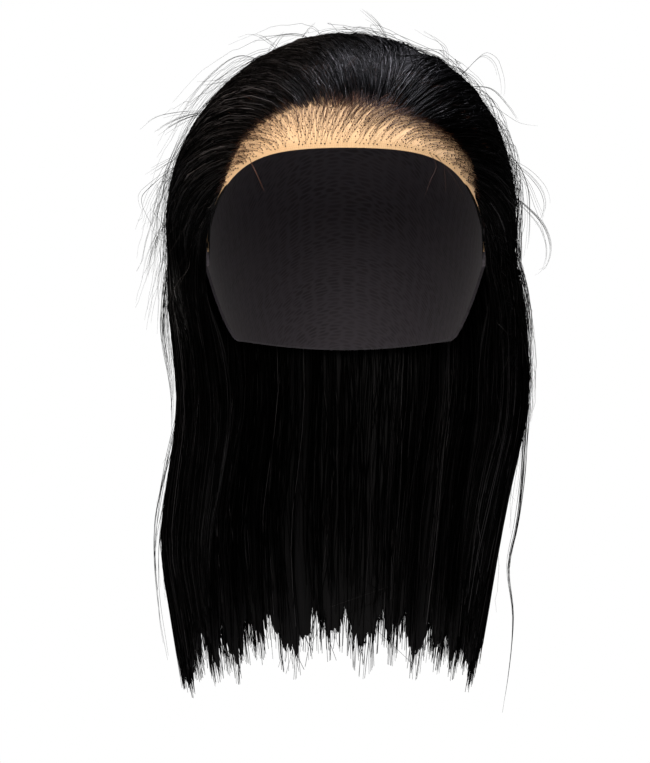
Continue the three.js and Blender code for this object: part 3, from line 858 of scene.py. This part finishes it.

# Hair, panel by panel: a mass built in place of the imported one, strands on its inside and on its front rim.
# Every strand stands for a few hairs, so it is thicker than a real one of 0.08 mm.
hairPiece = {
    "Right": {"columns": 96, "strands": 900, "flyaways": 190, "seed": 11},
    "Middle": {"columns": 132, "strands": 1200, "flyaways": 140, "seed": 23},
    "Left": {"columns": 96, "strands": 900, "flyaways": 140, "seed": 37},
}
seedStep = {"inside": 100, "flyaways": 200, "rim": 300}
mass = {
    "sunk": 0.8, "insideSunk": 0.2, "trim": 9, "ragged": 15, "notchShare": 0.75, "wavy": 0.25,
    "headRows": 30, "hangRows": 22, "roundMm": 410, "strandMm": 0.6, "lengthMm": 420, "streakMm": 60,
    "reliefMm": 0.6}
hairGuide = {
    "columns": 420, "headRows": 48, "hangRows": 30, "trim": -3, "insideTrim": 2, "notchShare": 0.5,
    "rimColumns": 6, "clumpsEach": 3.0}
innerStrands = {
    "Strands": 420, "Points": 12, "Thickness": 0.6 * mm, "Tip Share": 0.3, "Root Share": 1.0,
    "Taper Start": 0.85, "Streaks": 60.0, "Start": (0.34, 0.44), "Span": (0.47, 0.57),
    "Lift": (-0.1 * mm, 1.0 * mm), "Root Depth": -0.5 * mm, "Stand Off": 1.5 * mm, "Clumping": 0.5,
    "Wander": 0.06, "Waves": 2.0, "Stray Share": 3.0, "Finish": strandFinish}
rimStrands = {
    "Strands": 130, "Points": 18, "Thickness": 0.5 * mm, "Tip Share": 0.15, "Root Share": 0.5,
    "Streaks": 8.0, "Start": (0.0, 0.25), "Span": (0.6, 0.98), "Lift": (-0.3 * mm, 1.2 * mm),
    "Root Depth": -0.5 * mm, "Stand Off": 2.0 * mm, "Clumps": 4.0, "Clumping": 0.4, "Wander": 0.5,
    "Waves": 2.0, "Stray Share": 1.0, "Finish": strandFinish}
massFinish = packedHair("packedBlackHair", mass)
hairRange = {label: ((panel["from"] + 1) / 2, (panel["to"] + 1) / 2) for label, panel in panels.items()}
guideFaces = []
for label, panel in panels.items():
    own = hairPiece[label]
    size = (own["columns"], mass["headRows"], mass["hangRows"])
    cut = {"trim": mass["trim"], "ragged": mass["ragged"], "notchShare": mass["notchShare"]}
    outer = panelFace(panel, *size, True, mass["sunk"], wavy=mass["wavy"], **cut)
    inner = panelFace(panel, *size, False, mass["insideSunk"], **cut)
    places = flowPlaces(outer, mass["headRows"], hairRange[label])
    places[..., 0] = rootedAt(places[..., 0], places[..., 1])
    body = closedWall("hairMass" + label, outer, inner, places)
    body.data.materials.append(massFinish)
    finishPiece(body, "hair", panel["node"])
    print("made: hair mass", label)

    columns = round(hairGuide["columns"] * np.ptp(hairRange[label]))
    size = (columns, hairGuide["headRows"], hairGuide["hangRows"])
    cut = {"trim": hairGuide["insideTrim"], "notchShare": hairGuide["notchShare"]}
    inside = panelFace(panel, *size, False, **cut)
    grow("hairInside" + label, guideSheet(inside, turned=True), combedStrands, {
        **innerStrands, "Clumps": len(panel["locks"]) * hairGuide["clumpsEach"],
        "Seed": own["seed"] + seedStep["inside"]})
    if label != "Middle":
        edge = 0 if label == "Right" else -1
        between = np.linspace(0, 1, hairGuide["rimColumns"])[:, None, None]
        rim = panelFace(panel, *size, True, **cut)[edge] * between + inside[edge] * (1 - between)
        rim = rim if label == "Right" else rim[::-1]
        grow("hairRim" + label, guideSheet(rim), combedStrands, {
            **rimStrands, "Seed": own["seed"] + seedStep["rim"]})
    face = panelFace(panel, *size, True, trim=hairGuide["trim"], notchShare=hairGuide["notchShare"],
                     wavy=mass["wavy"], rootLine=strandsAt)
    guideFaces.append(face[1:] if guideFaces else face)

# Loose strands over the whole wig, on one guide. Those from the hairline are swept to the sides.
outerGuide = np.concatenate(guideFaces)
sweptHair = {
    "Parting": sweep["parting"], "Right Bend": sweep["rightBend"], "Left Bend": sweep["leftBend"],
    "Sweep Reach": sweep["reach"], "Streaks": 270.0, "Clumps": 60.0, "Finish": strandFinish}
outerStrands = {
    **sweptHair, "Points": 20, "Thickness": 0.48 * mm, "Tip Share": 0.25, "Root Share": 0.35,
    "Taper Start": 0.8, "Start": (0.0, 0.035), "Span": (0.91, 0.985), "Crowding": 1.3,
    "Lift": (-0.4 * mm, 1.2 * mm), "Root Depth": -0.35 * mm, "Stand Off": 1.8 * mm, "Clumping": 0.55,
    "Wander": 0.016, "Waves": 3.0, "Stray Share": 4.0}
hairlineStrands = {
    **outerStrands, "Strands": 1100, "Points": 9, "Thickness": 0.24 * mm, "Tip Share": 0.3,
    "Root Share": 0.4, "Start": (0.0, 0.03), "Span": (0.08, 0.2), "Crowding": 1.0,
    "Lift": (-0.2 * mm, 0.7 * mm), "Wander": 0.03, "Waves": 1.0, "Clumping": 0.0, "Seed": 83}
earHairs = {
    **hairlineStrands, "Strands": 160, "Points": 6, "Thickness": 0.34 * mm, "Root Share": 1.0,
    "Start": (0.0, 0.006), "Span": (0.04, 0.1), "Lift": (-0.4 * mm, 0.3 * mm), "Root Depth": -0.4 * mm}
crownStrands = {
    **outerStrands, "Strands": 480, "Across": (0.22, 0.82), "Start": (0.1, 0.26), "Span": (0.68, 0.78),
    "Crowding": 1.1, "Lift": (-0.4 * mm, 0.9 * mm), "Right Bend": 1.0, "Left Bend": 1.0, "Seed": 71}
tipStrands = {
    **outerStrands, "Strands": 2150, "Points": 6, "Thickness": 0.6 * mm, "Root Share": 0.6, "Clumping": 0.2,
    "Start": (0.7, 0.76), "Span": (0.21, 0.25), "Crowding": 1.0, "Lift": (-1.6 * mm, 0.2 * mm),
    "Root Depth": -0.8 * mm, "Right Bend": 1.0, "Left Bend": 1.0, "Seed": 53}
looseHairs = {
    **sweptHair, "Strands": 260, "Points": 18, "Thickness": 0.2 * mm, "Tip Share": 0.2, "Root Share": 1.0,
    "Across": (0.58, 1.0), "Start": (0.02, 0.25), "Span": (0.15, 0.4), "Lift": (1.0 * mm, 6.5 * mm),
    "Root Depth": -0.5 * mm, "Stand Off": 2 * mm, "Wander": 0.06, "Waves": 2.5, "Stray Share": 2.0,
    "Seed": 91}
flyaways = {
    **sweptHair, "Points": 16, "Thickness": 0.19 * mm, "Tip Share": 0.2, "Root Share": 1.0,
    "Start": (0.02, 0.7), "Span": (0.1, 0.3), "Lift": (0.2 * mm, 1.0 * mm), "Root Depth": -0.5 * mm,
    "Stand Off": 7.5 * mm, "Wander": 0.12, "Waves": 0.7, "Stray Share": 1.0}
longFlyaways = {
    **flyaways, "Strands": 90, "Points": 18, "Wander": 0.18, "Across": (0.05, 0.5), "Start": (0.04, 0.2),
    "Span": (0.12, 0.24), "Stand Off": 19 * mm, "Boldness": 1.0, "Seed": 97}
earReach = 0.06
for label, (low, high) in hairRange.items():
    own = hairPiece[label]
    for name, sizes, count, step in (
            ("hairStrands", outerStrands, own["strands"], 0),
            ("flyaways", flyaways, own["flyaways"], seedStep["flyaways"])):
        grow(name + label, guideSheet(outerGuide, hairGuide["headRows"]), combedStrands, {
            **sizes, "Strands": count, "Across": (low, high), "Seed": own["seed"] + step})
for name, sizes in (
        ("hairCrown", crownStrands), ("hairlineStrands", hairlineStrands), ("hairTips", tipStrands),
        ("looseHairs", looseHairs), ("longFlyaways", longFlyaways),
        ("earHairsRight", {**earHairs, "Across": (0.0, earReach)}),
        ("earHairsLeft", {**earHairs, "Across": (1 - earReach, 1.0)})):
    grow(name, guideSheet(outerGuide, hairGuide["headRows"]), combedStrands, sizes)

# Short hairs run down along the lace edge at each side, and on past its end.
edgeHairs = {"from": 0.78, "rows": 30, "past": 6, "pastRows": 16, "lifts": np.linspace(-0.1, 1.0, 4)}
edgeStrands = {
    **hairlineStrands, "Strands": 80, "Points": 14, "Thickness": 0.32 * mm, "Root Share": 0.5,
    "Start": (0.0, 0.6), "Span": (0.25, 0.39), "Lift": (-0.1 * mm, 0.4 * mm), "Root Depth": 0.0,
    "Stand Off": 0.6 * mm, "Wander": 0.2, "Right Bend": 1.0, "Left Bend": 1.0}
for label, side in (("Right", -1), ("Left", 1)):
    lines = combedLines(side * np.linspace(edgeHairs["from"], 1, edgeHairs["rows"] + 1))
    past = np.linspace(0, laceDepth["ear"] + edgeHairs["past"], edgeHairs["pastRows"] + 1)
    end = alongLines((lines[0][-1:], lines[1][-1:]), past[None, 1:])[0]
    way = np.concatenate([lines[0][:, 0], end])
    strip = np.stack([onHead(way, np.full(len(way), lift)) for lift in edgeHairs["lifts"]])
    grow("edgeHairs" + label, guideSheet(strip, turned=side > 0), combedStrands, edgeStrands)

# Thin wisps hang free at the sides, single hairs fall over the opening, and stray hairs stand off the rest.
# Columns of each way: drop, place across, place front to back. Stray hairs lean to one side.
stray = {
    "width": (1.0, 6.0), "Thickness": 0.17 * mm, "Root Share": 0.8, "Start": (0.0, 0.03),
    "Span": (0.6, 0.95), "Clumping": 0.2, "Wander": 0.0}
wisps = {
    "wispLeft": {"width": (5.0, 2.0), "ways": (
        ((138, 92, -8), (160, 95.5, -12), (199, 95, -13), (249, 91, -12), (271, 87, -11), (298, 90, -10),
         (331, 88, -9), (352, 85, -8)),)},
    "wispRight": {"width": (6.0, 5.0), "Strands": 9, "Seed": 67, "ways": (
        ((176, -85, -3), (197, -90, -8), (220, -95, -11), (245, -100, -12), (270, -101, -11),
         (295, -99.5, -10), (326, -95, -9)),)},
    "wispEar": {
        "width": (8.0, 5.0), "Strands": 26, "Seed": 73, "Thickness": 0.24 * mm, "Clumping": 0.3, "ways": (
        ((96, -85, 4), (112, -91, 1), (130, -94.4, -3), (146, -94.8, -4), (158, -93.4, -5), (172, -91.4, -6),
         (190, -90.8, -6), (208, -91.6, -6)),)},
    "strayHairs": {
        "width": (0.6, 0.6), "Strands": 8, "Seed": 79, "Thickness": 0.16 * mm, "Finish": rootFinish, "ways": (
        ((52.5, -49.5, -62.5), (63, -43.7, -76), (75, -38, -84.5), (82, -34.6, -88)),
        ((51.6, 23, -83.7), (62, 31.7, -85), (73, 36.7, -85), (89, 33.6, -89)),
        ((51.5, 41, -71.3), (57.4, 44, -73), (66, 40.8, -79.7), (75, 37.2, -85)),
        ((50.6, 42.2, -69.6), (63, 52.4, -66), (72, 58, -62), (81, 62, -57)),
        ((54.5, 48.4, -65.3), (70, 49, -73), (83, 49, -76)))},
    "strayRight": {**stray, "lean": -1, "Strands": 40, "Seed": 83, "ways": (
        ((1, -54.7, 5), (11, -70, 5), (21.5, -79, 5), (37.5, -88, 5), (51.8, -93, 5)),
        ((13.1, -64.7, 5), (14, -73.2, 4), (14.7, -86.6, 3)),
        ((29.8, -79.6, 5), (31, -90, 3), (33.5, -99.5, 2), (41, -109, 0)),
        ((31.4, -77.8, 5), (37.5, -93, 3), (43.7, -101.6, 1)),
        ((52.9, -87.1, 5), (57.4, -96, 3), (65.8, -109, 0)),
        ((59.3, -90.3, 5), (67.9, -103, 2), (73.8, -108.5, 0), (87.3, -104.2, -2), (95.9, -98.9, -4)),
        ((97.5, -90, -4), (97, -98, -3), (92, -105.5, -1), (82, -109.5, 0)),
        ((95, -91, -4), (84, -100, -2), (75, -107, 0)),
        ((83.5, -92, 0), (95.9, -98.9, -2), (106.6, -103.2, -3), (121.1, -106.4, -4)),
        ((86, -92, 0), (97, -99.5, -2), (109, -102.5, -3), (130, -104.4, -4)))},
    "strayLeft": {**stray, "lean": 1, "Strands": 30, "Seed": 89, "ways": (
        ((7, 65, 5), (2.5, 69.5, 5), (0.1, 73, 5), (2.8, 78.2, 4), (9.9, 81.3, 4), (18.8, 82.7, 4),
         (27.8, 80.9, 4)),
        ((18, 77, 5), (27, 86, 4), (34.9, 91.5, 3), (43.8, 97.7, 2)),
        ((27, 78, 5), (31, 84, 4), (35.8, 91.5, 3), (38, 103.9, 2)),
        ((48, 82, 5), (52.7, 89.8, 3), (55, 96, 2)),
        ((56, 89, 5), (64.3, 100.4, 3), (71.5, 105.7, 2), (77.7, 107, 0), (85.7, 103.9, -2),
         (89.3, 98.7, -3)),
        ((60, 90, 4), (67.9, 96.8, 3), (78.6, 101.3, 2), (88.4, 104.9, 0), (99.1, 107.5, -2),
         (109.8, 108, -3)),
        ((54, 89, 5), (69.6, 97.3, 4), (83, 98.4, 3), (96.4, 98, 2), (108.9, 96.2, 1)),
        ((80, 96, 2), (92, 106, 0), (102, 108.5, -1), (112, 105.5, -2), (115.5, 98, -3)))},
    "strayTop": {**stray, "lean": 0, "Strands": 22, "Seed": 101, "ways": (
        ((-5.5, 52, 14), (-7.5, 49.3, 12), (-12, 41.3, 12), (-17.3, 33.3, 12), (-20.4, 26.2, 12)),
        ((-11, 20.5, 14), (-15.1, 17.8, 12), (-20.9, 12.1, 12), (-25.4, 6.7, 12)),
        ((-11, 21.5, 14), (-15.1, 17.4, 12), (-18.2, 13, 12), (-20.4, 8.5, 12)),
        ((-9, -24.1, 14), (-12.4, -22.1, 12), (-16, -18.9, 12), (-18.2, -16.3, 12)),
        ((-3, -35.5, 14), (-5.3, -38.4, 12), (-10.2, -45.5, 12), (-11.1, -50, 12), (-9.8, -54.4, 12),
         (-8.7, -58, 12)),
        ((-11.2, -24, 14), (-10.7, -37.6, 12), (-8.7, -46.5, 12), (-4.4, -51.7, 12), (1.8, -55.3, 12)),
        ((-3, -39.5, 14), (-5.3, -37.6, 12), (-10.7, -33.1, 12), (-14.7, -29.1, 12)))},
}
wispStrands = {
    "Strands": 13, "Points": 30, "Thickness": 0.3 * mm, "Tip Share": 0.2, "Root Share": 0.6, "Streaks": 5.0,
    "Start": (0.0, 0.1), "Span": (0.45, 0.95), "Crowding": 1.0, "Lift": (-1.0 * mm, 1.0 * mm),
    "Root Depth": 0.0, "Stand Off": 3 * mm, "Clumping": 0.75, "Wander": 0.3, "Waves": 3.0,
    "Stray Share": 1.0, "Seed": 61, "Finish": strandFinish}
wispRows = 40

# Roots of stray hairs, in millimetres: back is the way back for each millimetre off the combed hair.
rooting = {"sunk": 1.5, "shallow": 0.5, "back": 1.2, "spare": 1, "grown": 300}
headMiddle = np.array([0, 0, head["crownHeight"]])


def combedSurface(point, sunk):
    direction = (point + headMiddle) / np.linalg.norm(point + headMiddle)
    return onHead(direction, liftAt(0.0, rooting["grown"], direction) - sunk)


# A stray hair whose way starts off the combed hair gets a root in it, further back along its way.
def withRoot(way):
    first, second = (np.array([aside, behind, -drop]) for drop, aside, behind in way[:2])
    off = np.linalg.norm(first + headMiddle) - np.linalg.norm(combedSurface(first, 0) + headMiddle)
    if off <= -rooting["shallow"]:
        return way
    back = (first - second) / np.linalg.norm(first - second)
    root = combedSurface(first + back * rooting["back"] * (off + rooting["spare"]), rooting["sunk"])
    return np.concatenate([[(-root[2], root[0], root[1])], way])


# The strips that a wisp's strands follow, one for each of its ways.
def wispGuide(wisp):
    rows = wispRows + 1
    share = np.linspace(0, 1, rows)[None, :]
    edge = np.array([-0.5, 0.5])[:, None]
    strips, places = [], []
    for number, way in enumerate(np.array(way, float) for way in wisp["ways"]):
        way = withRoot(way) if "lean" in wisp else way
        come = np.concatenate([[0], np.cumsum(np.linalg.norm(np.diff(way, axis=0), axis=-1))])
        drop, aside, behind = (tableColumn(np.column_stack([come, way]), come[-1] * share, column)
                               for column in (1, 2, 3))
        wide = edge * blend(*wisp["width"], share)
        strips.append(np.stack([aside + wide, behind + 0 * edge, wisp.get("lean", 0) * wide - drop], -1))
        across = (number + 0.5 + edge + 0 * share) / len(wisp["ways"])
        places.append(np.stack([across, share + 0 * edge], -1))
    faces = np.concatenate([gridFaces(2, rows, i * 2 * rows) for i in range(len(strips))])
    points, flow = np.concatenate(strips).reshape(-1, 3), np.concatenate(places).reshape(-1, 2)
    return meshOf("guide", points, faces, flow)


for name, wisp in wisps.items():
    own = {key: value for key, value in wisp.items() if key in wispStrands}
    count = len(wisp["ways"])
    grow(name, wispGuide(wisp), combedStrands, {
        **wispStrands, "Clumps": float(count), "Wander": wispStrands["Wander"] / count, **own})

# Floor, light and camera
ground = {"radius": 800, "height": -620, "sides": 96, "mottles": 30.0}  # mottles to the metre
turn = np.linspace(0, 2 * np.pi, ground["sides"], endpoint=False)
disc = np.stack([np.cos(turn) * ground["radius"], np.sin(turn) * ground["radius"],
                 np.full(ground["sides"], ground["height"])], -1)
floor = meshOf("floor", disc, np.arange(ground["sides"])[None, :])

# Pale matte paint, faintly mottled.
floorPaint, tree = newMaterial("paleFloor")
place = put(tree, "ShaderNodeTexCoord").outputs["Object"]
grain = put(tree, "ShaderNodeTexNoise", {"Vector": place, "Scale": ground["mottles"]})
tint = put(tree, "ShaderNodeMix", {"Factor": grain, "A": linear("#f4f4f2"), "B": linear("#fafaf8")},
           data_type="RGBA")
paint = put(tree, "ShaderNodeBsdfPrincipled", {"Base Color": tint, "Roughness": 0.9})
put(tree, "ShaderNodeOutputMaterial", {"Surface": paint})
floor.data.materials.append(floorPaint)

# White behind the wig, but hardly a light on it.
world = bpy.data.worlds.new("studio")
world.use_nodes = True
scene.world = world
tree = world.node_tree
tree.nodes.clear()
seen = put(tree, "ShaderNodeLightPath").outputs["Is Camera Ray"]
power = put(tree, "ShaderNodeMapRange", {"Value": seen, "To Min": 0.02, "To Max": 1.0})
sky = put(tree, "ShaderNodeBackground", {"Color": (1, 1, 1, 1), "Strength": power})
put(tree, "ShaderNodeOutputWorld", {"Surface": sky})

lampAim = Vector((0, 0, -0.08))
lamps = (
    {"name": "topBox", "at": (0.08, 0.25, 0.9), "size": 0.4, "watts": 23, "colour": "#f2f1ff"},
    {"name": "sideBox", "at": (-0.9, 0.05, 0.45), "size": 0.5, "watts": 4, "colour": "#ffe9dc"},
    {"name": "frontBox", "at": (-0.12, -1.45, 0.95), "size": 1.6, "watts": 41, "colour": "#fffaf4"},
)
for lamp in lamps:
    light = bpy.data.lights.new(lamp["name"], "AREA")
    light.shape = "SQUARE"
    light.size = lamp["size"]
    light.energy = lamp["watts"]
    light.color = linear(lamp["colour"])[:3]
    holder = bpy.data.objects.new(lamp["name"], light)
    holder.location = lamp["at"]
    holder.rotation_euler = (lampAim - Vector(lamp["at"])).to_track_quat("-Z", "Y").to_euler()
    scene.collection.objects.link(holder)

view = {
    "target": (-0.0107, 0.0, -0.173), "distance": 1.1, "elevation": 6, "focalPixels": 2058, "longSide": 763,
    "sensor": 36}
camera = bpy.data.cameras.new("photoCamera")
camera.sensor_width = view["sensor"]
camera.lens = view["focalPixels"] * camera.sensor_width / view["longSide"]
holder = bpy.data.objects.new("photoCamera", camera)
tilt = math.radians(view["elevation"])
back = Vector((0, -math.cos(tilt), math.sin(tilt)))
holder.location = Vector(view["target"]) + back * view["distance"]
holder.rotation_euler = (-back).to_track_quat("-Z", "Y").to_euler()
scene.collection.objects.link(holder)
scene.camera = holder
scene.view_settings.view_transform = "Standard"
print("made: floor, light and camera")

bpy.context.view_layer.update()
shown = [piece.data for piece in scene.objects if piece.type == "MESH" and not piece.hide_render]
for mesh in shown:
    mesh.calc_loop_triangles()
print("triangles in all:", sum(len(mesh.loop_triangles) for mesh in shown))
